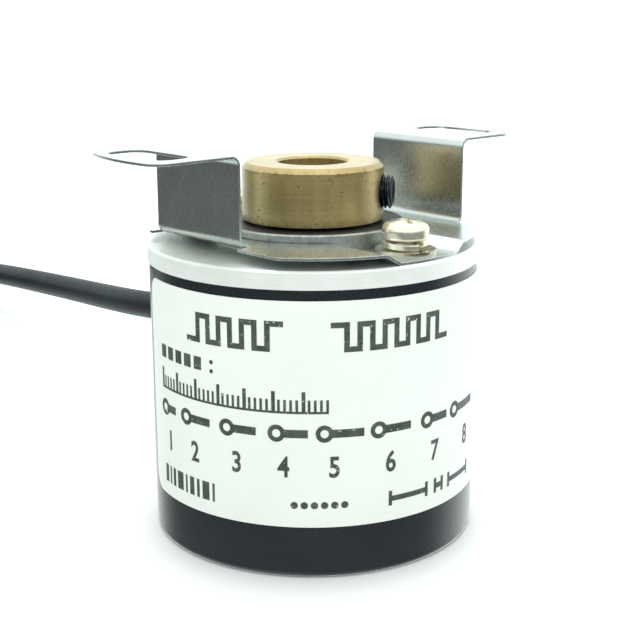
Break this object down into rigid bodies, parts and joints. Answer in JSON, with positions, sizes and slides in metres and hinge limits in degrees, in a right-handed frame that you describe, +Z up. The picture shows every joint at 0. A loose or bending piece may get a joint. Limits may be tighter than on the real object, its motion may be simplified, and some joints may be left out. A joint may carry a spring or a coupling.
{
  "type": "rotary encoder",
  "caption": "Small round incremental encoder with a clamped hollow shaft, a bent stator spring with slotted ears, and a side cable.",
  "frame": {"origin": "on the shaft axis, in the plane of the rear face", "axes": "+Z runs up the shaft bore and out of its mouth; X runs along the two ears; the cable leaves at about 78 degrees from +X"},
  "size_m": [0.0767, 0.2115, 0.0448],
  "materials": {
    "black_coat": "satin black coating",
    "label_stock": "white printed film",
    "flange_alloy": "turned, fine lathe marks",
    "seal_rubber": "matt",
    "plated_steel": "nickel plated",
    "shaft_brass": "turned",
    "black_steel": "black oxide",
    "spring_steel": "rolled stainless sheet",
    "board_laminate": "solder mask green",
    "disc_film": "dark film",
    "hub_alloy": "turned",
    "chip_plastic": "moulded",
    "mask_glass": "etched glass",
    "bracket_plastic": "moulded",
    "lamp_lens": "clear blue lens",
    "ceramic_body": "ceramic",
    "header_plastic": "nylon",
    "standoff_brass": "hexagon bar",
    "boot_rubber": "matt moulded",
    "wire_plastic": "coloured insulation",
    "jacket_plastic": "semi-matt jacket",
    "tie_plastic": "nylon",
    "sleeve_plastic": "shrunk sleeve",
    "race_steel": "ground steel",
    "washer_steel": "plated",
    "ball_steel": "polished",
    "cage_steel": "pressed"
  },
  "bodies": {
    "stator": {"board_capacitors": "ceramic_body", "cable": "jacket_plastic", "cable_coil": "jacket_plastic", "cable_crimp_ring": "plated_steel", "cable_end_sleeve": "sleeve_plastic", "cable_grommet": "boot_rubber", "cable_leads": "wire_plastic", "circuit_board": "board_laminate", "coil_tie": "tie_plastic", "cover_screws": "plated_steel", "detector_mask": "mask_glass", "emitter_bracket": "bracket_plastic", "flat_washer_front": "washer_steel", "flat_washer_rear": "washer_steel", "housing": "black_coat", "housing_o_ring": "seal_rubber", "inner_wires": "wire_plastic", "label": "label_stock", "light_detector": "chip_plastic", "light_emitter": "lamp_lens", "line_driver_chip": "chip_plastic", "lock_washer_front": "plated_steel", "lock_washer_rear": "plated_steel", "lower_bearing_outer_race": "race_steel", "lower_bearing_shields": "cage_steel", "lower_standoffs": "standoff_brass", "mounting_flange": "flange_alloy", "shaft_seal": "seal_rubber", "spring_screw_front": "plated_steel", "spring_screw_rear": "plated_steel", "stator_spring": "spring_steel", "upper_bearing_outer_race": "race_steel", "upper_bearing_shields": "cage_steel", "upper_standoffs": "standoff_brass", "wire_header": "header_plastic"},
    "rotor": {"hollow_shaft": "shaft_brass", "upper_bearing_inner_race": "race_steel", "lower_bearing_inner_race": "race_steel", "bearing_spacer": "race_steel", "shaft_retaining_ring": "black_steel", "disc_hub": "hub_alloy", "code_disc": "disc_film", "disc_clamp_ring": "hub_alloy", "disc_screw": "plated_steel"},
    "set_screw_a": {"set_screw_a": "black_steel"},
    "set_screw_b": {"set_screw_b": "black_steel"},
    "upper_ball_ring": {"upper_bearing_balls": "ball_steel", "upper_bearing_cage": "cage_steel"},
    "lower_ball_ring": {"lower_bearing_balls": "ball_steel", "lower_bearing_cage": "cage_steel"}
  },
  "joints": [
    {"name": "shaft_spin", "type": "hinge", "parent": "stator", "child": "rotor", "pos_m": [0, 0, 0.03], "axis": [0, 0, 1], "continuous": true},
    {"name": "upper_ball_ring_spin", "type": "hinge", "parent": "stator", "child": "upper_ball_ring", "pos_m": [0, 0, 0.03245], "axis": [0, 0, 1], "continuous": true},
    {"name": "lower_ball_ring_spin", "type": "hinge", "parent": "stator", "child": "lower_ball_ring", "pos_m": [0, 0, 0.02445], "axis": [0, 0, 1], "continuous": true},
    {"name": "set_screw_a_travel", "type": "slide", "parent": "rotor", "child": "set_screw_a", "axis": [-0.606, 0.7955, 0], "range_m": [0, 0.00115]},
    {"name": "set_screw_b_travel", "type": "slide", "parent": "rotor", "child": "set_screw_b", "axis": [-0.7955, -0.606, 0], "range_m": [0, 0.00115]}
  ],
  "couplings": [
    {"joint": "upper_ball_ring_spin", "follows": "shaft_spin", "ratio": 0.4138},
    {"joint": "lower_ball_ring_spin", "follows": "shaft_spin", "ratio": 0.4138}
  ]
}
